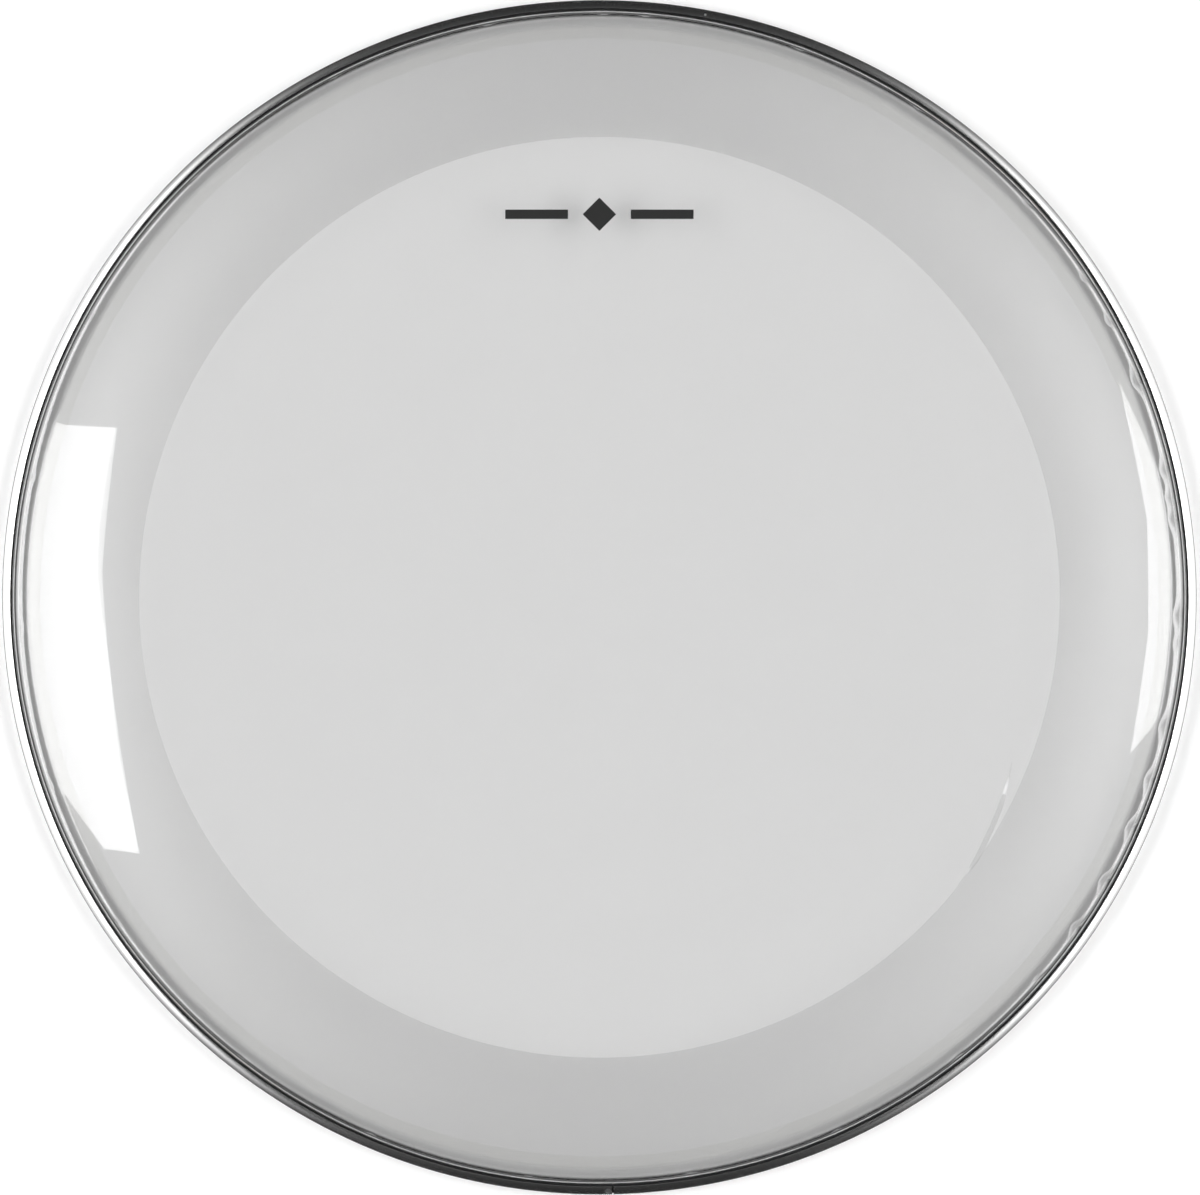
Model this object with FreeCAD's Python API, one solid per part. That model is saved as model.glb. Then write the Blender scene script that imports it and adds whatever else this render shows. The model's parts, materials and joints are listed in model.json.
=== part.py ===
"""Clear bass-drum head: a formed polyester film with a muffle ring under its edge, its notched
skirt locked by cast resin in a round aluminium channel hoop.

Millimetres and degrees. The origin is the centre of the hoop's foot, +Z is the playing side."""

import FreeCAD, Part
import math
import os

# The drum shell that the head slips over
shell_diameter = 558.8
shell_clearance = 1.6

# Flesh hoop: a channel of even wall, rolled to a circle and butted at one joint
hoop_width = 6.0
hoop_height = 9.2
hoop_wall = 0.6
hoop_top_slope = 25.0
hoop_land_width = 0.6
hoop_foot_bevel = 0.6
slot_width = 1.1
inner_wall_drop = 0.8
butt_joint_gap = 0.3
butt_joint_angle = -88.7

# Batter film: flat face, band that falls away over the muffle ring, crown, collar, skirt
film_thickness = 0.25
film_height = 17.8
band_slope = 2.6
crown_radius = 4.0
collar_angle = 54.0
collar_foot_rise = 0.2

# The skirt inside the hoop, with notches that the resin runs through
skirt_wall_gap = 0.15
skirt_floor_gap = 1.6
notch_count = 36
notch_width = 12.0
notch_height = 2.4

# Muffle ring, and the line of adhesive that holds its outer edge to the film
ring_inset = 59.3
ring_edge_gap = 0.6
ring_thickness = 0.25
adhesive_thickness = 0.1
adhesive_width = 6.0

# Resin: its level under the inner wall's top, and its shrinkage from the channel's walls
resin_drop = 0.25
resin_shrinkage = 0.03

# Radii and heights that follow from the sizes above
shell_radius = shell_diameter / 2
bore_radius = shell_radius + shell_clearance
outer_radius = bore_radius + hoop_width
slot_inner = bore_radius + hoop_wall
slot_outer = slot_inner + slot_width
land_outer = slot_outer + hoop_land_width
shoulder_height = hoop_height - (outer_radius - land_outer) * math.tan(math.radians(hoop_top_slope))
inner_wall_top = hoop_height - inner_wall_drop
skirt_inner = slot_inner + skirt_wall_gap
skirt_outer = skirt_inner + film_thickness
skirt_bottom = hoop_wall + skirt_floor_gap
collar_foot = inner_wall_top + collar_foot_rise
resin_top = inner_wall_top - resin_drop
ring_inner = shell_radius - ring_inset

axis_point = FreeCAD.Vector(0, 0, 0)
axis_up = FreeCAD.Vector(0, 0, 1)


def at(radius, height):
    """A point of a section, in the plane that is turned about the axis."""
    return FreeCAD.Vector(radius, 0, height)


def facing(slope):
    """The way that a surface faces in section, when it falls outwards at a slope."""
    turn = math.radians(slope)
    return at(math.sin(turn), math.cos(turn))


def inset(corner, face, next_face, depth):
    """The corner of two straight surfaces, after both have been moved inwards by a depth."""
    return corner - (face + next_face) * (depth / (1 + face.dot(next_face)))


def crossing(point, face, next_point, next_face):
    """Where two straight surfaces meet, each given by a point on it and the way it faces."""
    along = at(face.z, -face.x)
    travel = next_face.dot(next_point - point) / next_face.dot(along)
    return point + along * travel


def path(*points):
    """Straight edges through the points, in order."""
    return [Part.LineSegment(a, b).toShape() for a, b in zip(points, points[1:])]


def arc(centre, radius, face, next_face):
    """An arc edge round a centre, from one way that it faces to another."""
    middle_face = (face + next_face).normalize()
    ends = [centre + way * radius for way in (face, middle_face, next_face)]
    return Part.Arc(*ends).toShape()


def turned(edges):
    """The solid that a closed section makes when it is turned about the axis."""
    wire = Part.Wire(Part.__sortEdges__(edges))
    return Part.Face(wire).revolve(axis_point, axis_up, 360)


# The ways that the surfaces face in section
level_face = facing(0)
upright_face = facing(90)
hoop_top_face = facing(hoop_top_slope)
band_face = facing(band_slope)
collar_face = facing(collar_angle)

# Corners of the film's upper side in section, and the crown that rounds the outer one
band_corner = at(ring_inner, film_height)
foot_corner = at(skirt_outer, collar_foot)
crown_corner = crossing(band_corner, band_face, foot_corner, collar_face)
crown_centre = inset(crown_corner, band_face, collar_face, crown_radius)
crown_start = crown_centre + band_face * crown_radius


def film_side(depth):
    """Edges of the film's section at a depth under its upper side, with their first and last
    points, on the axis and at the skirt's edge."""
    middle = at(0.0, film_height - depth)
    edge = at(skirt_outer - depth, skirt_bottom)
    crown = crown_radius - depth
    face = path(
        middle,
        inset(band_corner, level_face, band_face, depth),
        crown_centre + band_face * crown,
    )
    collar = path(
        crown_centre + collar_face * crown,
        inset(foot_corner, collar_face, upright_face, depth),
        edge,
    )
    return face + [arc(crown_centre, crown, band_face, collar_face)] + collar, middle, edge


def under_band(depth, thickness, width):
    """A flat ring under the sloping band, whose outer edge is just inside the crown."""
    outward = (crown_start - band_corner).normalize()
    outer = crown_start - outward * ring_edge_gap - band_face * depth
    inner = outer - outward * width
    under = band_face * thickness
    return turned(path(outer, inner, inner - under, outer - under, outer))


def around(shape, count):
    """Copies of a shape at even steps round the axis."""
    copies = []
    for index in range(count):
        copy = shape.copy()
        copy.rotate(axis_point, axis_up, index * 360.0 / count)
        copies.append(copy)
    return Part.makeCompound(copies)


def make_batter_film():
    upper, top_middle, outer_edge = film_side(0.0)
    lower, under_middle, inner_edge = film_side(film_thickness)
    sheet = turned(upper + path(outer_edge, inner_edge) + lower + path(under_middle, top_middle))

    notch = Part.makeBox(
        slot_outer - bore_radius,
        notch_width,
        2 * notch_height,
        FreeCAD.Vector(bore_radius, -notch_width / 2, skirt_bottom - notch_height),
    )
    return sheet.cut(around(notch, notch_count))


def make_muffle_ring():
    width = (crown_start - band_corner).Length - ring_edge_gap
    return under_band(film_thickness + adhesive_thickness, ring_thickness, width)


def make_ring_adhesive():
    return under_band(film_thickness, adhesive_thickness, adhesive_width)


def channel_roof(depth):
    """The outer and inner corners of the hoop's sloping top, at a depth under it."""
    shoulder = inset(at(outer_radius, shoulder_height), upright_face, hoop_top_face, depth)
    land = inset(at(land_outer, hoop_height), hoop_top_face, level_face, depth)
    return shoulder, land


def make_flesh_hoop():
    roof_shoulder, roof_land = channel_roof(hoop_wall)
    top_shoulder, top_land = channel_roof(0.0)
    ring = turned(
        path(
            at(bore_radius, hoop_foot_bevel),
            at(bore_radius, inner_wall_top),
            at(slot_inner, inner_wall_top),
            at(slot_inner, hoop_wall),
            at(roof_shoulder.x, hoop_wall),
            roof_shoulder,
            roof_land,
            at(slot_outer, roof_land.z),
            at(slot_outer, hoop_height),
            top_land,
            top_shoulder,
            at(outer_radius, hoop_foot_bevel),
            at(outer_radius - hoop_foot_bevel, 0.0),
            at(bore_radius + hoop_foot_bevel, 0.0),
            at(bore_radius, hoop_foot_bevel),
        )
    )
    joint = Part.makeBox(
        2 * hoop_width,
        butt_joint_gap,
        2 * hoop_height,
        FreeCAD.Vector(bore_radius - hoop_width / 2, -butt_joint_gap / 2, -hoop_height / 2),
    )
    joint.rotate(axis_point, axis_up, butt_joint_angle)
    return ring.cut(joint)


def make_hoop_resin(film):
    """Fills the channel and goes round and through the film's notched skirt."""
    inner = slot_inner + resin_shrinkage
    floor = hoop_wall + resin_shrinkage
    shoulder, land = channel_roof(hoop_wall + resin_shrinkage)
    level = at(inner, resin_top)
    roof_end = crossing(land, hoop_top_face, level, level_face)
    fill = turned(path(level, at(inner, floor), at(shoulder.x, floor), shoulder, roof_end, level))
    return fill.cut(film)


def main():
    os.makedirs("parts", exist_ok=True)
    film = make_batter_film()
    pieces = {
        "flesh_hoop": make_flesh_hoop(),
        "batter_film": film,
        "muffle_ring": make_muffle_ring(),
        "ring_adhesive": make_ring_adhesive(),
        "hoop_resin": make_hoop_resin(film),
    }
    for name, shape in pieces.items():
        shape.exportStep(f"parts/{name}.step")
        print(name, len(shape.Solids), "solid,", round(shape.Volume, 1), "mm3, valid", shape.isValid())


main()
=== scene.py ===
"""Looks of a clear bass-drum head: film, muffle ring, adhesive line, cast resin and channel hoop.

Each piece is drawn as a line in section and turned about the head's axis, in the place of its
solid. Metres and degrees. The camera looks straight down on the playing side."""

import json
import math

import bmesh
import bpy
from mathutils import Matrix, Vector


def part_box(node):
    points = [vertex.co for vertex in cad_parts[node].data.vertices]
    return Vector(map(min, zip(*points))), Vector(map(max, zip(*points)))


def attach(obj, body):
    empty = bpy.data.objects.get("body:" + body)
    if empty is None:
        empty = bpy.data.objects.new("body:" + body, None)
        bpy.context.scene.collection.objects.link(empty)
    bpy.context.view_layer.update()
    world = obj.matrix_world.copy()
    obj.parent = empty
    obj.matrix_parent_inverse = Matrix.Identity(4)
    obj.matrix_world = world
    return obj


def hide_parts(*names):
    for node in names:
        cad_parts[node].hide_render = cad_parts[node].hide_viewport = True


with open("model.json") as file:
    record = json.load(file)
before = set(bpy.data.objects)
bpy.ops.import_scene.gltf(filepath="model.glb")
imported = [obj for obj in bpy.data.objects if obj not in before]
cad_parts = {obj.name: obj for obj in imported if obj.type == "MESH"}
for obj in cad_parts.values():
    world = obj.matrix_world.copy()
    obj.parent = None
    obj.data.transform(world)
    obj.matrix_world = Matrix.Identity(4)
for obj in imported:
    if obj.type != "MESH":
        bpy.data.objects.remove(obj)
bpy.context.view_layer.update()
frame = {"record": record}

MM = 0.001

# Steps in a full turn, and the sectors that a turn is made in
SEGMENTS = 720
FILM_SEGMENTS = 1200
ADHESIVE_SEGMENTS = 480
RESIN_SEGMENTS = 360
SECTORS = 24
MERGE_DISTANCE = MM / 1000
CLOSED_DISTANCE = MM / 100

# Sizes that the frame gives
hoop_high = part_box("flesh_hoop")[1]
film_low, film_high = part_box("batter_film")
ring_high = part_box("muffle_ring")[1]
glue_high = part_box("ring_adhesive")[1]
resin_low, resin_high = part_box("hoop_resin")
mounts = {mount["name"]: mount for mount in frame["record"]["mounts"]}

OUTER_RADIUS = hoop_high.x
HOOP_TOP = hoop_high.z
BORE_RADIUS = mounts["shell_bore"]["dims"]["r_mm"] * MM
FILM_TOP = film_high.z
SKIRT_RADIUS = film_high.x
SKIRT_FOOT = film_low.z
RESIN_TOP = resin_high.z

# Hoop section
HOOP_WALL = 0.6 * MM
SLOT_WIDTH = 1.1 * MM
LIP_RADIUS = 0.25 * MM
TOP_START_SLOPE = 10.0
TOP_END_SLOPE = 34.0
SHOULDER_ROUND = 0.6 * MM
FOOT_ROUND = 0.6 * MM
INNER_LIP_DROP = 0.8 * MM
JOINT_GAP = 0.3 * MM
JOINT_CHAMFER = 0.22 * MM
JOINT_CHAMFER_INSET = 0.13 * MM
JOINT_ANGLE = -88.7
HOOP_SHARP_ANGLE = 40

# Resin section: its gaps to the wall and the skirt, and its bevelled outer shoulder
RESIN_SHRINKAGE = 0.03 * MM
GROOVE_GAP = 0.01 * MM
GROOVE_FLOOR_GAP = 0.02 * MM
RESIN_SHOULDER_DROP = 1.4 * MM
RESIN_SHOULDER_WIDTH = 2.4 * MM

# Film section: level face, band that falls away, shoulder, crown, collar, skirt
FILM_THICKNESS = 0.25 * MM
LEVEL_RADIUS = 160 * MM
BAND_SLOPE = 2.6
BAND_END_SHARE = 0.985
SHOULDER_START = 273.6 * MM
SHOULDER_BEND = 6.0 * MM
SHOULDER_SLOPE = 9.0
SHOULDER_LENGTH = 2.8 * MM
SHOULDER_SPLIT = 0.4
CROWN_BEND = 4.8 * MM
COLLAR_SLOPE = 58.0
FOOT_BEND = 0.8 * MM

# Faint swell of the film's face, between two radii
SWELL_DEPTH = 0.012 * MM
SWELL_RISE = (60 * MM, 230 * MM)

# Small pleats in the crown: degrees round the head, and depth in millimetres
PLEATS = (
    (42.7, 0.6), (33.4, 0.7), (28.5, 0.8), (22.0, 1.6), (12.7, 1.1), (9.9, 1.0), (7.8, 1.3),
    (-1.8, 1.3), (-4.5, 0.5), (-12.8, 1.3), (-18.3, 1.3), (-23.4, 1.5), (-29.3, 1.6),
    (-34.7, 1.5), (-41.0, 0.8), (-52.0, 0.6), (-66.0, 0.4), (-81.0, 0.5), (-97.0, 0.3),
    (-113.0, 0.4), (-128.0, 0.3), (-146.0, 0.4), (-161.0, 0.25), (-177.0, 0.2), (168.0, 0.25),
    (151.0, 0.3), (134.0, 0.4), (117.0, 0.35), (101.0, 0.5), (89.6, 0.5), (85.5, 0.5),
    (70.0, 0.5), (57.0, 0.5),
)
PLEAT_WIDTH = 3.0 * MM
PLEAT_LEAST_WIDTH = 0.6
PLEAT_WIDENING = 0.5
PLEAT_SHARPNESS = 1.4
PLEAT_RISE = (275.3 * MM, 277.9 * MM)
PLEAT_FALL = (279.6 * MM, 281.6 * MM)

# Muffle ring: waves of its hanging free edge are depth, number round the ring and turn
RING_INNER = 220.1 * MM
RING_OUTER = ring_high.x
RING_THICKNESS = 0.25 * MM
RING_DEPTH = 0.35 * MM
RING_FREE_WIDTH = 26 * MM
RING_WAVES = ((0.12 * MM, 3, 1.0), (0.06 * MM, 11, 0.0))

# Loose sliver of the ring's cut edge: it tapers at both ends and hangs away from the film
SLIVER_ROOT = -39.0
SLIVER_TIP = -21.8
SLIVER_REACH = 7.6 * MM
SLIVER_WIDTH = 2.6 * MM
SLIVER_LEAST_WIDTH = 0.02 * MM
SLIVER_TIP_TAPER = 3
SLIVER_ROOT_TAPER = 4
SLIVER_DROP = 0.5 * MM
SLIVER_DROP_END = 0.5
SLIVER_LEAN = 0.4 * MM
SLIVER_STEPS = 24

# Line of adhesive under the film
GLUE_EDGE_INSET = 1.2 * MM
GLUE_OUTER = glue_high.x - GLUE_EDGE_INSET
GLUE_WIDTH = 6.0 * MM
GLUE_CLEARANCE = 0.01 * MM
GLUE_THICKNESS = 0.08 * MM

# Plain printed mark: a diamond with a bar on either side
MARK_CENTRE = 183 * MM
MARK_DIAMOND = 8 * MM
MARK_BAR = (30 * MM, 4.5 * MM)
MARK_BAR_PLACE = 30 * MM
MARK_BAR_STEPS = 12
INK_THICKNESS = 0.03 * MM
INK_CLEARANCE = 0.01 * MM

# Film looks by radius in millimetres: greys of its tint with painted shade and light near the rim,
# and shares that it mirrors head on
FILM_TINT_AND_PAINTED_SHADE = (
    (272.2, 0.905),
    # From here out the greys are painted shade on the crown and collar
    (274.6, 0.85),
    (274.75, 0.785),
    (276.2, 0.785),
    (277.4, 0.85),
    (278.15, 0.88),
    (278.65, 0.64),
    (279.1, 0.36),
    (279.7, 0.27),
    (280.35, 0.27),
    # Fully clear at the foot: painted light on the hoop's lip seen through it
    (280.7, 1.0),
)
# The mirrored share is raised in a narrow ring on the crown: a painted highlight line
FILM_GLOSS_AND_PAINTED_HIGHLIGHT = ((277.6, 0.05), (278.2, 0.38), (279.2, 0.38), (279.7, 0.05))
FILM_LOOKS_RANGE = (262, 284)
FILM_HEAD_ON = 0.05
FILM_ROUGHNESS = 0.012
RING_TINT = 0.965
ADHESIVE_TINT = (0.985, 0.985, 0.98, 1)

# Hoop looks: grey of the metal, a painted highlight on its inner lip, painted shade on its slot, its
# wall to the shell and its outer edge, then roughness
METAL_GREY = 0.84
# Painted highlight: the inner lip, lighter than the metal
LIP_PAINTED_HIGHLIGHT = 0.9
# Painted shade: the slot and the wall to the shell
SLOT_PAINTED_SHADE = 0.04
# Painted shade: a thin line at the outer edge
EDGE_PAINTED_SHADE = 0.15
PLAIN_METAL_DROP = 3.4 * MM
PLAIN_METAL_INSET = 0.2 * MM
CUT_ROUGHNESS = 0.7
ROLLED_ROUGHNESS = 0.2
LINE_ROUGHNESS = 0.08
LINE_STRENGTH = 0.25
LINE_RELIEF = 0.02 * MM
LINES_ROUND = 3.0
LINES_ACROSS = 2600.0
LINES_UP = 1900.0
LINE_DETAIL = 3.0

# Dull spots on the hoop: degrees, distance from its outer edge, size and roughness
DULL_SPOTS = (
    (JOINT_ANGLE - 0.45, 1.6 * MM, 3.4 * MM, 0.34),
    (JOINT_ANGLE + 0.08, 3.0 * MM, 1.0 * MM, 0.8),
    (79.7, 2.9 * MM, 1.2 * MM, 0.8),
)
SPOT_CORE = 0.4

# Place of the photograph's frame: hoop radius and centre in pixels
FRAME_WIDTH = 1200
FRAME_HEIGHT = 1195
HOOP_RADIUS_PIXELS = 597.25
HOOP_CENTRE_PIXELS = (599.4, 597.3)
HOOP_SHOULDER_DROP = 1.8 * MM
CAMERA_HEIGHT = 1.8
SENSOR_WIDTH = 36.0

# Floor: half its width, its place under the hoop, its glow, and where it turns white
FLOOR_REACH = 6.0
FLOOR_GAP = 0.1 * MM
FLOOR_GLOW = 0.2
FLOOR_FADE = (0.5, 1.0)

# Upright panels to the left and right: they fade to their sides and are dim at the foot
PANEL_DISTANCE = 1.5
PANEL_HEIGHT = 1.16
PANEL_SIZE = (5.6, 2.3)
PANEL_BRIGHTNESS = 5.15
PANEL_FADE = 1.3
PANEL_FOOT_SHARE = 0.18
PANEL_RISE = (0.26, 0.9)

# Flat softboxes above the left and right side: corners in metres
LEFT_SOFTBOX = (
    (-0.90, 0.30), (-0.62, 0.20), (-0.54, 0.19), (-0.55, 0.03),
    (-0.52, -0.29), (-0.57, -0.29), (-0.62, -0.23), (-0.90, -0.33),
)
RIGHT_SOFTBOX = (
    (0.60, 0.25), (0.65, 0.15), (0.93, 0.21), (0.93, -0.20),
    (0.65, -0.14), (0.61, -0.18), (0.63, -0.04), (0.63, 0.09),
)
SOFTBOX_HEIGHT = 1.6
SOFTBOX_BRIGHTNESS = 3.8

# Studio: its dim light, and a glow on the ceiling at a lean from straight up
STUDIO_LEVEL = 0.015
CEILING_GLOW = 1.5
CEILING_LEAN = 0.23
CEILING_SPREAD = 0.06

# Clear surfaces that a ray may pass
CLEAR_LAYERS = 24


class Section:
    """A line in the plane that is turned about the head's axis, drawn one stretch at a time.

    The slope is how steeply the line falls outwards: 0 runs outwards, 90 down, 180 inwards."""

    def __init__(self, radius, height, slope=0.0):
        self.mesh = bmesh.new()
        self.tip = self.mesh.verts.new((radius, 0, height))
        self.slope = slope

    def reach(self, radius, height):
        """A straight stretch to a point."""
        end = Vector((radius, 0, height))
        along = end - self.tip.co
        self.slope = math.degrees(math.atan2(-along.z, along.x))
        self.tip = bmesh.ops.extrude_vert_indiv(self.mesh, verts=[self.tip])["verts"][0]
        self.tip.co = end
        return self

    def straight(self, length):
        """A straight stretch in line with the one before."""
        turn = math.radians(self.slope)
        end = self.tip.co + Vector((math.cos(turn), 0, -math.sin(turn))) * length
        return self.reach(end.x, end.z)

    def bend(self, radius, slope, steps):
        """An arc that goes on smoothly to a steeper slope."""
        turn = math.radians(self.slope)
        centre = self.tip.co + Vector((-math.sin(turn), 0, -math.cos(turn))) * radius
        swung = bmesh.ops.spin(
            self.mesh,
            geom=[self.tip],
            cent=centre,
            axis=(0, 1, 0),
            angle=math.radians(slope - self.slope),
            steps=steps,
        )
        self.tip = [part for part in swung["geom_last"] if isinstance(part, bmesh.types.BMVert)][0]
        self.slope = slope
        return self

    def closed(self):
        """The outline's ends joined."""
        first = min(self.mesh.verts, key=lambda vert: vert.index)
        if (first.co - self.tip.co).length > CLOSED_DISTANCE:
            self.mesh.edges.new((self.tip, first))
        bmesh.ops.remove_doubles(self.mesh, verts=self.mesh.verts[:], dist=MERGE_DISTANCE)
        return self

    def turned(self, segments=SEGMENTS, gap=0.0, start=0.0):
        """The surface that the section makes, turned all round or up to a gap with capped ends."""
        sector = (math.tau - gap) / SECTORS
        first_turn = Matrix.Rotation(math.radians(start) + gap / 2, 3, "Z")
        bmesh.ops.rotate(self.mesh, verts=self.mesh.verts[:], matrix=first_turn)
        self.spin(sector, segments // SECTORS, False)
        self.spin(sector * (SECTORS - 1), SECTORS - 1, True)
        bmesh.ops.remove_doubles(self.mesh, verts=self.mesh.verts[:], dist=MERGE_DISTANCE)
        if gap:
            self.cap_ends()
        bmesh.ops.recalc_face_normals(self.mesh, faces=self.mesh.faces[:])
        return self.mesh

    def spin(self, angle, steps, copies):
        """A turn about the head's axis, swept or in separate copies."""
        bmesh.ops.spin(
            self.mesh,
            geom=self.mesh.verts[:] + self.mesh.edges[:] + self.mesh.faces[:],
            axis=(0, 0, 1),
            cent=(0, 0, 0),
            angle=angle,
            steps=steps,
            use_duplicate=copies,
        )

    def cap_ends(self):
        """The two ends at a gap, closed and chamfered."""
        ends = [edge for edge in self.mesh.edges if edge.is_boundary]
        caps = bmesh.ops.holes_fill(self.mesh, edges=ends, sides=0)["faces"]
        bmesh.ops.recalc_face_normals(self.mesh, faces=self.mesh.faces[:])
        bmesh.ops.inset_individual(
            self.mesh, faces=caps, thickness=JOINT_CHAMFER_INSET, depth=JOINT_CHAMFER
        )


def show(name, mesh, material):
    """An object in the scene that shows a finished mesh."""
    data = bpy.data.meshes.new(name)
    mesh.to_mesh(data)
    mesh.free()
    data.materials.append(material)
    shown = bpy.data.objects.new(name, data)
    bpy.context.scene.collection.objects.link(shown)
    return shown


def make_piece(name, mesh, material, node=None, sharp=30.0):
    """A piece that rides on the head, in the place of its solid if it has one."""
    piece = show(name, mesh, material)
    piece.data.shade_smooth()
    piece.data.set_sharp_from_angle(angle=math.radians(sharp))
    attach(piece, "root")
    if node:
        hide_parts(node)
    return piece


def give_thickness(piece, thickness):
    """A wall of even thickness under the surface, with sharp outer edges."""
    wall = piece.modifiers.new("wall", "SOLIDIFY")
    wall.thickness = thickness
    wall.offset = -1.0
    wall.use_even_offset = True
    faces_at = [0] * len(piece.data.edges)
    for polygon in piece.data.polygons:
        for key in polygon.loop_indices:
            faces_at[piece.data.loops[key].edge_index] += 1
    for edge, count in zip(piece.data.edges, faces_at):
        if count == 1:
            edge.use_edge_sharp = True


def polar(point):
    """A point's radius and its angle round the head."""
    return math.hypot(point.x, point.y), math.atan2(point.y, point.x)


def ease(value, start, end):
    """A smooth rise from 0 at the start to 1 at the end."""
    share = min(1.0, max(0.0, (value - start) / (end - start)))
    return share * share * (3 - 2 * share)


def band_radius(depth):
    """Radius of the band's long arc in section, at a depth under the film's upper side."""
    return (SHOULDER_START - LEVEL_RADIUS) / math.sin(math.radians(BAND_SLOPE)) - depth


def film_section(depth=0.0, start=0.0, end=0.0):
    """The film's line from the axis to the end of its shoulder, or a stretch along its band."""
    long_arc = band_radius(depth)
    if start:
        slope = math.degrees(math.asin((start - LEVEL_RADIUS) / long_arc))
        fall = long_arc * (1 - math.cos(math.radians(slope)))
        section = Section(start, FILM_TOP - depth - fall, slope)
    else:
        section = Section(0, FILM_TOP - depth).reach(LEVEL_RADIUS, FILM_TOP - depth)
    if end:
        last_slope = math.degrees(math.asin((end - LEVEL_RADIUS) / long_arc))
        return section.bend(long_arc, last_slope, steps=40)
    section.bend(long_arc, BAND_SLOPE * BAND_END_SHARE, steps=10)
    section.bend(long_arc, BAND_SLOPE, steps=2)
    return section.bend(SHOULDER_BEND - depth, SHOULDER_SLOPE, steps=4)


def film_level(radius):
    """Height of the film's upper side on its level face and band."""
    out = max(0.0, radius - LEVEL_RADIUS)
    long_arc = band_radius(0.0)
    return FILM_TOP - long_arc + math.sqrt(long_arc * long_arc - out * out)


def pleat_depth(angle):
    """How deep the crown is pinched at an angle."""
    depth = 0.0
    for place, size in PLEATS:
        away = math.remainder(angle - math.radians(place), math.tau) * SKIRT_RADIUS
        width = PLEAT_WIDTH * (PLEAT_LEAST_WIDTH + PLEAT_WIDENING * size)
        depth += size * MM * math.exp(-(abs(away / width) ** PLEAT_SHARPNESS))
    return depth


def shape_film(mesh):
    """Pleats in the crown, and a faint swell of the face inside it."""
    depths = {}
    for vert in mesh.verts:
        radius, angle = polar(vert.co)
        weight = ease(radius, *PLEAT_RISE) * (1 - ease(radius, *PLEAT_FALL))
        if weight > 0:
            turn = round(angle, 4)
            if turn not in depths:
                depths[turn] = pleat_depth(angle)
            share = 1 - depths[turn] * weight / radius
            vert.co.x *= share
            vert.co.y *= share
        elif radius < SHOULDER_START:
            swell = math.sin(5 * angle + 0.7) * math.sin(7 * radius / LEVEL_RADIUS + angle)
            vert.co.z -= SWELL_DEPTH * (1 + swell) * ease(radius, *SWELL_RISE)


def make_film(material):
    """One ply from the axis to the foot of its skirt."""
    section = film_section()
    section.straight(SHOULDER_LENGTH * SHOULDER_SPLIT)
    section.straight(SHOULDER_LENGTH * (1 - SHOULDER_SPLIT))
    section.bend(CROWN_BEND, COLLAR_SLOPE, steps=9)
    collar_turn = math.radians(COLLAR_SLOPE)
    foot_width = FOOT_BEND * (1 - math.sin(collar_turn))
    collar_width = SKIRT_RADIUS - foot_width - section.tip.co.x
    half_collar = collar_width / 2 / math.cos(collar_turn)
    section.straight(half_collar).straight(half_collar)
    section.bend(FOOT_BEND, 90, steps=4)
    section.reach(SKIRT_RADIUS, SKIRT_FOOT)
    mesh = section.turned(FILM_SEGMENTS)
    shape_film(mesh)
    film = make_piece("batter_film_clear", mesh, material, "batter_film", sharp=180)
    give_thickness(film, FILM_THICKNESS)


def sliver_row(share):
    """The sliver's inner and outer point, at a share of its length from the root."""
    angle = math.radians(SLIVER_ROOT + (SLIVER_TIP - SLIVER_ROOT) * share)
    inner = RING_INNER - SLIVER_REACH * share
    taper = min(1.0, SLIVER_TIP_TAPER * (1 - share), SLIVER_ROOT_TAPER * share)
    outer = inner + SLIVER_WIDTH * taper + SLIVER_LEAST_WIDTH
    fall = (inner - LEVEL_RADIUS) ** 2 / (2 * band_radius(RING_DEPTH))
    height = FILM_TOP - RING_DEPTH - fall - SLIVER_DROP * ease(share, 0, SLIVER_DROP_END)
    way = Vector((math.cos(angle), math.sin(angle), 0))
    up = Vector((0, 0, 1))
    return way * inner + up * height, way * outer + up * (height - SLIVER_LEAN)


def add_sliver(mesh):
    """A thin tail of the ring's cut edge that has come loose at one end."""
    edge = mesh.edges.new([mesh.verts.new(point) for point in sliver_row(0.0)])
    strip = []
    for step in range(1, SLIVER_STEPS + 1):
        grown = bmesh.ops.extrude_edge_only(mesh, edges=[edge])["geom"]
        tips = [part for part in grown if isinstance(part, bmesh.types.BMVert)]
        tips.sort(key=lambda vert: polar(vert.co)[0])
        edge = mesh.edges.get(tips)
        strip.append(edge.link_faces[0])
        for vert, point in zip(tips, sliver_row(step / SLIVER_STEPS)):
            vert.co = point
    mesh.normal_update()
    bmesh.ops.reverse_faces(mesh, faces=[face for face in strip if face.normal.z < 0])


def make_muffle_ring(material):
    """The ring under the band, glued at its outer edge, whose free inner edge hangs a little."""
    mesh = film_section(RING_DEPTH, RING_INNER, RING_OUTER).turned()
    for vert in mesh.verts:
        radius, angle = polar(vert.co)
        free = max(0.0, 1 - (radius - RING_INNER) / RING_FREE_WIDTH)
        hang = sum(depth * (1 + math.sin(waves * angle + turn)) for depth, waves, turn in RING_WAVES)
        vert.co.z -= hang * free * free
    add_sliver(mesh)
    ring = make_piece("muffle_ring_clear", mesh, material, "muffle_ring", sharp=180)
    give_thickness(ring, RING_THICKNESS)


def make_adhesive(material):
    """The thin line of adhesive between the film and the ring's outer edge."""
    depth = FILM_THICKNESS + GLUE_CLEARANCE
    section = film_section(depth, GLUE_OUTER - GLUE_WIDTH, GLUE_OUTER)
    mesh = section.turned(ADHESIVE_SEGMENTS)
    glue = make_piece("adhesive_line", mesh, material, "ring_adhesive", sharp=180)
    give_thickness(glue, GLUE_THICKNESS)


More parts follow.
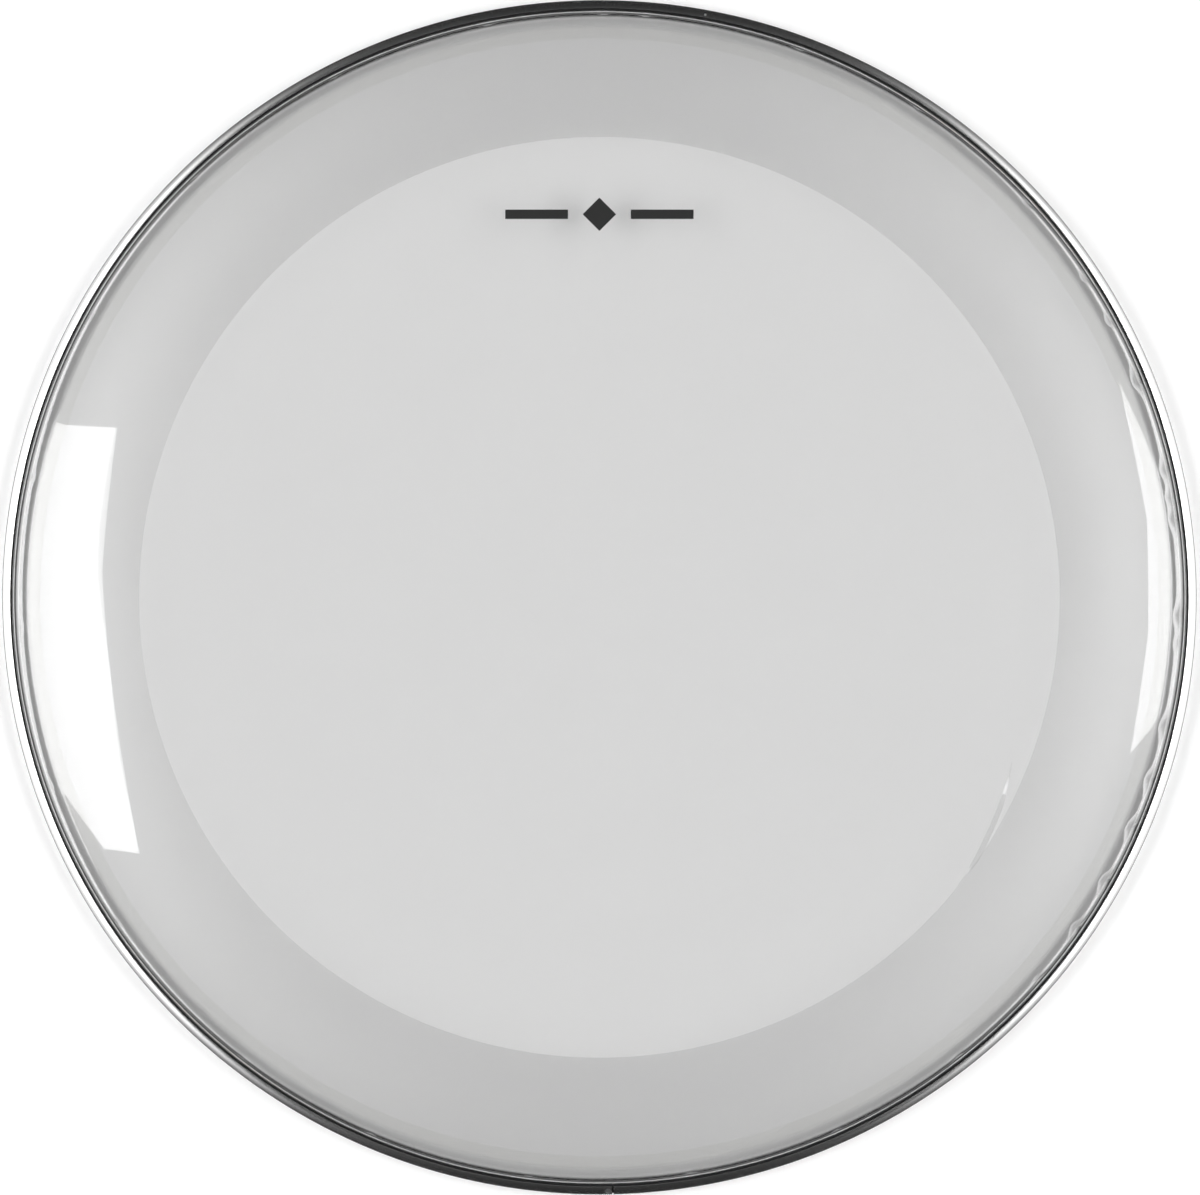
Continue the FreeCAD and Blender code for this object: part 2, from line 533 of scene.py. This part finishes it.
def make_printed_mark(material):
    """Ink on the film's upper side."""
    mesh = bmesh.new()
    bmesh.ops.create_circle(mesh, cap_ends=True, segments=4, radius=MARK_DIAMOND)
    for side in (-1, 1):
        bar = bmesh.ops.create_grid(mesh, x_segments=MARK_BAR_STEPS, y_segments=1, size=0.5)["verts"]
        bmesh.ops.scale(mesh, verts=bar, vec=(*MARK_BAR, 1))
        bmesh.ops.translate(mesh, verts=bar, vec=(MARK_BAR_PLACE * side, 0, 0))
    bmesh.ops.translate(mesh, verts=mesh.verts[:], vec=(0, MARK_CENTRE, 0))
    for vert in mesh.verts:
        vert.co.z = film_level(polar(vert.co)[0]) + INK_THICKNESS + INK_CLEARANCE
    bmesh.ops.recalc_face_normals(mesh, faces=mesh.faces[:])
    mark = make_piece("printed_mark", mesh, material)
    give_thickness(mark, INK_THICKNESS)


def make_hoop(material):
    """The channel hoop, rolled to a circle from one strip and butted at a joint."""
    slot_inner = BORE_RADIUS + HOOP_WALL
    slot_outer = slot_inner + SLOT_WIDTH
    inner_top = HOOP_TOP - INNER_LIP_DROP
    start_turn = math.radians(TOP_START_SLOPE)
    end_turn = math.radians(TOP_END_SLOPE)
    lip_end = slot_outer + LIP_RADIUS * (1 + math.sin(start_turn))
    shoulder_width = SHOULDER_ROUND * (1 - math.sin(end_turn))
    top_width = OUTER_RADIUS - shoulder_width - lip_end
    top_round = top_width / (math.sin(end_turn) - math.sin(start_turn))
    roof_fall = top_width * math.tan((start_turn + end_turn) / 2)

    outline = Section(BORE_RADIUS, FOOT_ROUND)
    outline.reach(BORE_RADIUS, inner_top - HOOP_WALL / 2)
    outline.bend(HOOP_WALL / 2, 90, steps=6)
    outline.reach(slot_inner, HOOP_WALL)
    outline.reach(OUTER_RADIUS - HOOP_WALL, HOOP_WALL)
    outline.reach(OUTER_RADIUS - HOOP_WALL, HOOP_TOP - roof_fall - HOOP_WALL)
    outline.reach(lip_end, HOOP_TOP - HOOP_WALL)
    outline.reach(slot_outer, HOOP_TOP - HOOP_WALL)
    outline.reach(slot_outer, HOOP_TOP - LIP_RADIUS)
    outline.bend(LIP_RADIUS, TOP_START_SLOPE, steps=5)
    outline.bend(top_round, TOP_END_SLOPE, steps=10)
    outline.bend(SHOULDER_ROUND, 90, steps=6)
    outline.reach(OUTER_RADIUS, FOOT_ROUND)
    outline.bend(FOOT_ROUND, 180, steps=5)
    outline.reach(BORE_RADIUS + FOOT_ROUND, 0)
    outline.bend(FOOT_ROUND, 270, steps=5)

    gap = (JOINT_GAP + 2 * JOINT_CHAMFER) / OUTER_RADIUS
    mesh = outline.closed().turned(gap=gap, start=JOINT_ANGLE)
    make_piece(
        "flesh_hoop_rolled", mesh, material, "flesh_hoop", sharp=HOOP_SHARP_ANGLE
    )


def make_resin(material):
    """The resin in the channel, with a groove that the film's skirt stands in."""
    inner = BORE_RADIUS + HOOP_WALL + RESIN_SHRINKAGE
    outer = resin_high.x
    groove_inner = SKIRT_RADIUS - FILM_THICKNESS - GROOVE_GAP
    groove_outer = SKIRT_RADIUS + GROOVE_GAP
    groove_floor = SKIRT_FOOT - GROOVE_FLOOR_GAP
    outline = Section(inner, RESIN_TOP)
    outline.reach(inner, resin_low.z)
    outline.reach(outer, resin_low.z)
    outline.reach(outer, RESIN_TOP - RESIN_SHOULDER_DROP)
    outline.reach(outer - RESIN_SHOULDER_WIDTH, RESIN_TOP)
    outline.reach(groove_outer, RESIN_TOP)
    outline.reach(groove_outer, groove_floor)
    outline.reach(groove_inner, groove_floor)
    outline.reach(groove_inner, RESIN_TOP)
    mesh = outline.closed().turned(RESIN_SEGMENTS)
    make_piece("cast_resin_fill", mesh, material, "hoop_resin")


def empty_material(name):
    """A material with an output and nothing else."""
    material = bpy.data.materials.new(name)
    material.use_nodes = True
    tree = material.node_tree
    tree.nodes.clear()
    return material, tree, tree.nodes.new("ShaderNodeOutputMaterial")


def feed(tree, node, *values):
    """Sets a node's first inputs, each to a socket or a plain value, and leaves out None."""
    for socket, value in zip(node.inputs, values):
        if isinstance(value, bpy.types.NodeSocket):
            tree.links.new(value, socket)
        elif value is not None:
            socket.default_value = value
    return node


def math_node(tree, operation, first, second=None):
    """The result of a Math node."""
    node = tree.nodes.new("ShaderNodeMath")
    node.operation = operation
    return feed(tree, node, first, second).outputs[0]


def vector_node(tree, operation, first, second=None):
    """A Vector Math node."""
    node = tree.nodes.new("ShaderNodeVectorMath")
    node.operation = operation
    return feed(tree, node, first, second)


def components(tree, vector):
    """The X, Y and Z of a vector."""
    return feed(tree, tree.nodes.new("ShaderNodeSeparateXYZ"), vector).outputs


def smooth_rise(tree, value, start, end, low=0.0):
    """A smooth rise from a low level at the start to 1 at the end."""
    rise = tree.nodes.new("ShaderNodeMapRange")
    rise.interpolation_type = "SMOOTHSTEP"
    rise.inputs["From Min"].default_value = start
    rise.inputs["From Max"].default_value = end
    rise.inputs["To Min"].default_value = low
    tree.links.new(value, rise.inputs["Value"])
    return rise.outputs["Result"]


def gauss(tree, value, middle, width):
    """A soft hump of 1 round a middle value."""
    away = math_node(tree, "SUBTRACT", value, middle)
    away = math_node(tree, "DIVIDE", away, width)
    square = math_node(tree, "MULTIPLY", away, away)
    return math_node(tree, "EXPONENT", math_node(tree, "MULTIPLY", square, -1.0))


def object_place(tree):
    """Places on the surface, in the head's frame."""
    return tree.nodes.new("ShaderNodeTexCoord").outputs["Object"]


def level_place(tree):
    """Places on the surface, brought down to the floor."""
    return vector_node(tree, "MULTIPLY", object_place(tree), (1, 1, 0)).outputs[0]


def radius_from_axis(tree):
    """Distance from the head's axis, over the surface."""
    return vector_node(tree, "LENGTH", level_place(tree)).outputs["Value"]


def greys_by_radius(tree, first, last, stops):
    """A grey that changes with the distance from the axis, from stops in millimetres."""
    spread = tree.nodes.new("ShaderNodeMapRange")
    spread.inputs["From Min"].default_value = first * MM
    spread.inputs["From Max"].default_value = last * MM
    tree.links.new(radius_from_axis(tree), spread.inputs["Value"])
    ramp = tree.nodes.new("ShaderNodeValToRGB")
    tree.links.new(spread.outputs["Result"], ramp.inputs["Fac"])
    for radius, grey in stops:
        stop = ramp.color_ramp.elements.new((radius - first) / (last - first))
        stop.color = (grey, grey, grey, 1)
    ramp.color_ramp.elements.remove(ramp.color_ramp.elements[0])
    ramp.color_ramp.elements.remove(ramp.color_ramp.elements[-1])
    return ramp.outputs["Color"]


def principled(tree, colour, roughness, metallic=0.0):
    """A Principled shader with plain values."""
    shader = tree.nodes.new("ShaderNodeBsdfPrincipled")
    shader.inputs["Base Color"].default_value = (*colour, 1)
    shader.inputs["Roughness"].default_value = roughness
    shader.inputs["Metallic"].default_value = metallic
    return shader


def surface_reflection(tree, head_on):
    """How much a film's surface mirrors: a little head on, and more at a glance."""
    weight = tree.nodes.new("ShaderNodeLayerWeight")
    glance = math_node(tree, "POWER", weight.outputs["Facing"], 5.0)
    rise = math_node(tree, "MULTIPLY", glance, math_node(tree, "SUBTRACT", 1.0, head_on))
    return math_node(tree, "ADD", rise, head_on)


def film_material(name, tint=None, stops=None, gloss_and_highlight_stops=None):
    """Clear polyester film: see-through, slightly grey, and glossy; with stops its grey and gloss
    change with the radius, as painted shade and light and a painted highlight near the rim.
    """
    material, tree, output = empty_material(name)
    through = tree.nodes.new("ShaderNodeBsdfTransparent")
    head_on = FILM_HEAD_ON
    if stops:
        tree.links.new(greys_by_radius(tree, *FILM_LOOKS_RANGE, stops), through.inputs["Color"])
        # Mirrored shares by radius, with a painted highlight ring on the crown
        head_on = greys_by_radius(tree, *FILM_LOOKS_RANGE, gloss_and_highlight_stops)
    else:
        through.inputs["Color"].default_value = (tint, tint, tint, 1)
    gloss = tree.nodes.new("ShaderNodeBsdfGlossy")
    gloss.inputs["Color"].default_value = (1, 1, 1, 1)
    gloss.inputs["Roughness"].default_value = FILM_ROUGHNESS
    both = tree.nodes.new("ShaderNodeMixShader")
    feed(tree, both, surface_reflection(tree, head_on), through.outputs[0], gloss.outputs[0])
    tree.links.new(both.outputs[0], output.inputs["Surface"])
    return material


def adhesive_material():
    """Clear cured adhesive, which only tints what is seen through it."""
    material, tree, output = empty_material("clear_adhesive")
    through = tree.nodes.new("ShaderNodeBsdfTransparent")
    through.inputs["Color"].default_value = ADHESIVE_TINT
    tree.links.new(through.outputs[0], output.inputs["Surface"])
    return material


def dull_spot(tree, angle, edge_distance, reach, level):
    """A soft round spot on the hoop, of a level that falls to 0 at its edge."""
    turn = math.radians(angle)
    radius = OUTER_RADIUS - edge_distance
    centre = (radius * math.cos(turn), radius * math.sin(turn), HOOP_TOP - MM)
    away = vector_node(tree, "DISTANCE", object_place(tree), centre)
    fall = tree.nodes.new("ShaderNodeMapRange")
    fall.inputs["From Min"].default_value = reach * SPOT_CORE
    fall.inputs["From Max"].default_value = reach
    fall.inputs["To Min"].default_value = level
    fall.inputs["To Max"].default_value = 0.0
    tree.links.new(away.outputs["Value"], fall.inputs["Value"])
    return fall.outputs["Result"]


def rolling_lines(tree):
    """Fine lines that run round the hoop, as the rolls leave them."""
    way = vector_node(tree, "NORMALIZE", level_place(tree))
    spread = vector_node(tree, "SCALE", way.outputs[0])
    spread.inputs["Scale"].default_value = LINES_ROUND
    round_hoop = components(tree, spread.outputs[0])
    across = math_node(tree, "MULTIPLY", radius_from_axis(tree), LINES_ACROSS)
    up = math_node(tree, "MULTIPLY", components(tree, object_place(tree))["Z"], LINES_UP)
    lines = tree.nodes.new("ShaderNodeCombineXYZ")
    feed(tree, lines, round_hoop["X"], round_hoop["Y"], math_node(tree, "ADD", across, up))
    noise = tree.nodes.new("ShaderNodeTexNoise")
    noise.inputs["Scale"].default_value = 1.0
    noise.inputs["Detail"].default_value = LINE_DETAIL
    tree.links.new(lines.outputs[0], noise.inputs["Vector"])
    return noise.outputs["Fac"]


def hoop_colour(tree):
    """Bright metal, with painted shade on the slot and outer edge of its top and on the wall to the
    shell, and a painted highlight on the inner lip.
    """
    bore = BORE_RADIUS / MM
    rim = OUTER_RADIUS / MM
    stops = (
        # Painted shade on the wall to the shell
        (bore + 0.02, SLOT_PAINTED_SHADE),
        # Painted highlight on the inner lip
        (bore + 0.1, LIP_PAINTED_HIGHLIGHT),
        (bore + 0.42, LIP_PAINTED_HIGHLIGHT),
        # Painted shade in and beside the slot
        (bore + 0.48, SLOT_PAINTED_SHADE),
        (bore + 1.9, SLOT_PAINTED_SHADE),
        (bore + 1.98, METAL_GREY),
        (rim - 0.42, METAL_GREY),
        # Painted shade line at the outer edge
        (rim - 0.36, EDGE_PAINTED_SHADE),
        (rim - 0.05, EDGE_PAINTED_SHADE),
        (rim - 0.02, METAL_GREY),
    )
    greys = greys_by_radius(tree, bore - 1, rim + 1, stops)
    height = components(tree, object_place(tree))["Z"]
    low = math_node(tree, "LESS_THAN", height, HOOP_TOP - PLAIN_METAL_DROP)
    inside_wall = BORE_RADIUS + PLAIN_METAL_INSET
    outside = math_node(tree, "GREATER_THAN", radius_from_axis(tree), inside_wall)
    plain = math_node(tree, "MULTIPLY", math_node(tree, "MULTIPLY", low, outside), METAL_GREY)
    return math_node(tree, "MAXIMUM", greys, plain)


def hoop_roughness(tree, lines):
    """Rough on the cut inner lip, smooth with fine lines on the rest, dull at a few spots."""
    bore = BORE_RADIUS / MM
    cut_edge = bore + HOOP_WALL / MM
    stops = ((cut_edge, CUT_ROUGHNESS), (cut_edge + 0.1, ROLLED_ROUGHNESS))
    rough = greys_by_radius(tree, bore, bore + 2, stops)
    rough = math_node(tree, "ADD", rough, math_node(tree, "MULTIPLY", lines, LINE_ROUGHNESS))
    for spot in DULL_SPOTS:
        rough = math_node(tree, "MAXIMUM", rough, dull_spot(tree, *spot))
    return rough


def hoop_material():
    """Rolled aluminium."""
    material, tree, output = empty_material("rolled_aluminium")
    shader = principled(tree, (0.82, 0.82, 0.83), ROLLED_ROUGHNESS, 1.0)
    lines = rolling_lines(tree)
    tree.links.new(hoop_colour(tree), shader.inputs["Base Color"])
    tree.links.new(hoop_roughness(tree, lines), shader.inputs["Roughness"])
    relief = tree.nodes.new("ShaderNodeBump")
    relief.inputs["Strength"].default_value = LINE_STRENGTH
    relief.inputs["Distance"].default_value = LINE_RELIEF
    tree.links.new(lines, relief.inputs["Height"])
    tree.links.new(relief.outputs[0], shader.inputs["Normal"])
    tree.links.new(shader.outputs[0], output.inputs["Surface"])
    return material


def ink_material():
    """Matt black printing ink."""
    material, tree, output = empty_material("black_ink")
    shader = principled(tree, (0.012, 0.012, 0.012), 0.45)
    tree.links.new(shader.outputs[0], output.inputs["Surface"])
    return material


def resin_material():
    """Dark grey cast resin."""
    material, tree, output = empty_material("cast_resin")
    shader = principled(tree, (0.015, 0.015, 0.016), 0.4)
    tree.links.new(shader.outputs[0], output.inputs["Surface"])
    return material


def floor_material():
    """Pale matt paper with a faint glow, white to the camera far from the head."""
    material, tree, output = empty_material("pale_paper")
    paper = principled(tree, (0.88, 0.88, 0.88), 0.9)
    paper.inputs["Specular IOR Level"].default_value = 0.1
    path = tree.nodes.new("ShaderNodeLightPath").outputs
    seen = math_node(tree, "MAXIMUM", path["Is Camera Ray"], path["Is Glossy Ray"])
    seen = math_node(tree, "MAXIMUM", seen, path["Is Transmission Ray"])
    near = math_node(tree, "MULTIPLY", seen, FLOOR_GLOW)
    rise = smooth_rise(tree, radius_from_axis(tree), *FLOOR_FADE)
    far = math_node(tree, "MULTIPLY", rise, path["Is Camera Ray"])
    glow = tree.nodes.new("ShaderNodeEmission")
    tree.links.new(math_node(tree, "ADD", near, far), glow.inputs["Strength"])
    both = feed(tree, tree.nodes.new("ShaderNodeAddShader"), paper.outputs[0], glow.outputs[0])
    tree.links.new(both.outputs[0], output.inputs["Surface"])
    return material


def make_floor():
    """The sheet that the head lies on."""
    mesh = bmesh.new()
    bmesh.ops.create_grid(mesh, x_segments=1, y_segments=1, size=FLOOR_REACH)
    floor = show("floor", mesh, floor_material())
    floor.location.z = -FLOOR_GAP


def make_world():
    """A dim studio with a soft glow on the ceiling to the left and right, white to the camera."""
    world = bpy.data.worlds.new("studio")
    world.use_nodes = True
    tree = world.node_tree
    tree.nodes.clear()
    way = components(tree, tree.nodes.new("ShaderNodeTexCoord").outputs["Generated"])
    sideways = math_node(tree, "MULTIPLY", way["X"], way["X"])
    lengthways = math_node(tree, "MULTIPLY", way["Y"], way["Y"])
    lean_squared = math_node(tree, "ADD", math_node(tree, "ADD", sideways, lengthways), 0.0001)
    lean = math_node(tree, "SQRT", lean_squared)
    above = math_node(tree, "GREATER_THAN", way["Z"], 0.0)
    side_share = math_node(tree, "DIVIDE", sideways, lean_squared)
    glow = math_node(tree, "MULTIPLY", gauss(tree, lean, CEILING_LEAN, CEILING_SPREAD), side_share)
    glow = math_node(tree, "MULTIPLY", math_node(tree, "MULTIPLY", glow, above), CEILING_GLOW)
    studio = math_node(tree, "ADD", glow, STUDIO_LEVEL)
    path = tree.nodes.new("ShaderNodeLightPath").outputs
    strength = math_node(tree, "MAXIMUM", studio, path["Is Camera Ray"])
    background = tree.nodes.new("ShaderNodeBackground")
    background.inputs["Color"].default_value = (1, 1, 1, 1)
    tree.links.new(strength, background.inputs["Strength"])
    output = tree.nodes.new("ShaderNodeOutputWorld")
    tree.links.new(background.outputs[0], output.inputs["Surface"])
    bpy.context.scene.world = world


def make_panel(side):
    """A soft upright light that faces the axis from the left or right."""
    width, height = PANEL_SIZE
    light = bpy.data.lights.new("panel", "AREA")
    light.shape = "RECTANGLE"
    light.size = width
    light.size_y = height
    light.energy = PANEL_BRIGHTNESS * 4 * width * height
    light.use_nodes = True
    tree = light.node_tree
    place = components(tree, tree.nodes.new("ShaderNodeNewGeometry").outputs["Parametric"])
    rise = smooth_rise(tree, place["Y"], *PANEL_RISE, low=PANEL_FOOT_SHARE)
    level = math_node(tree, "MULTIPLY", gauss(tree, place["X"], 0.5, PANEL_FADE / width), rise)
    tree.links.new(level, tree.nodes["Emission"].inputs["Strength"])
    panel = bpy.data.objects.new("panel", light)
    panel.location = (PANEL_DISTANCE * side, 0, PANEL_HEIGHT)
    panel.rotation_euler = Vector((-side, 0, 0)).to_track_quat("-Z", "Y").to_euler()
    panel.visible_camera = False
    bpy.context.scene.collection.objects.link(panel)


def make_light_sheet(name, corners):
    """A flat shining sheet above the head, seen only as a reflection."""
    mesh = bmesh.new()
    mesh.faces.new([mesh.verts.new((x, y, SOFTBOX_HEIGHT)) for x, y in corners])
    material, tree, output = empty_material(name)
    shine = tree.nodes.new("ShaderNodeEmission")
    shine.inputs["Strength"].default_value = SOFTBOX_BRIGHTNESS
    tree.links.new(shine.outputs[0], output.inputs["Surface"])
    sheet = show(name, mesh, material)
    sheet.visible_camera = False
    sheet.visible_shadow = False


def make_lights():
    """Tall soft panels to the left and right, and a flat softbox above each side."""
    for side in (-1, 1):
        make_panel(side)
    make_light_sheet("overhead_left", LEFT_SOFTBOX)
    make_light_sheet("overhead_right", RIGHT_SOFTBOX)


def make_camera():
    """A camera straight above, whose frame places the hoop as in the photograph."""
    data = bpy.data.cameras.new("camera")
    pixel = OUTER_RADIUS / HOOP_RADIUS_PIXELS
    distance = CAMERA_HEIGHT - (HOOP_TOP - HOOP_SHOULDER_DROP)
    data.sensor_width = SENSOR_WIDTH
    data.lens = SENSOR_WIDTH * distance / (FRAME_WIDTH * pixel)
    camera = bpy.data.objects.new("camera", data)
    camera.location = (
        (FRAME_WIDTH / 2 - HOOP_CENTRE_PIXELS[0]) * pixel,
        (HOOP_CENTRE_PIXELS[1] - FRAME_HEIGHT / 2) * pixel,
        CAMERA_HEIGHT,
    )
    bpy.context.scene.collection.objects.link(camera)
    bpy.context.scene.camera = camera


make_camera()
make_hoop(hoop_material())
make_film(film_material("clear_film", stops=FILM_TINT_AND_PAINTED_SHADE, gloss_and_highlight_stops=FILM_GLOSS_AND_PAINTED_HIGHLIGHT))
make_muffle_ring(film_material("ring_film", tint=RING_TINT))
make_adhesive(adhesive_material())
make_resin(resin_material())
make_printed_mark(ink_material())
make_floor()
make_world()
make_lights()

scene = bpy.context.scene
scene.view_settings.view_transform = "Standard"
scene.cycles.transparent_max_bounces = CLEAR_LAYERS
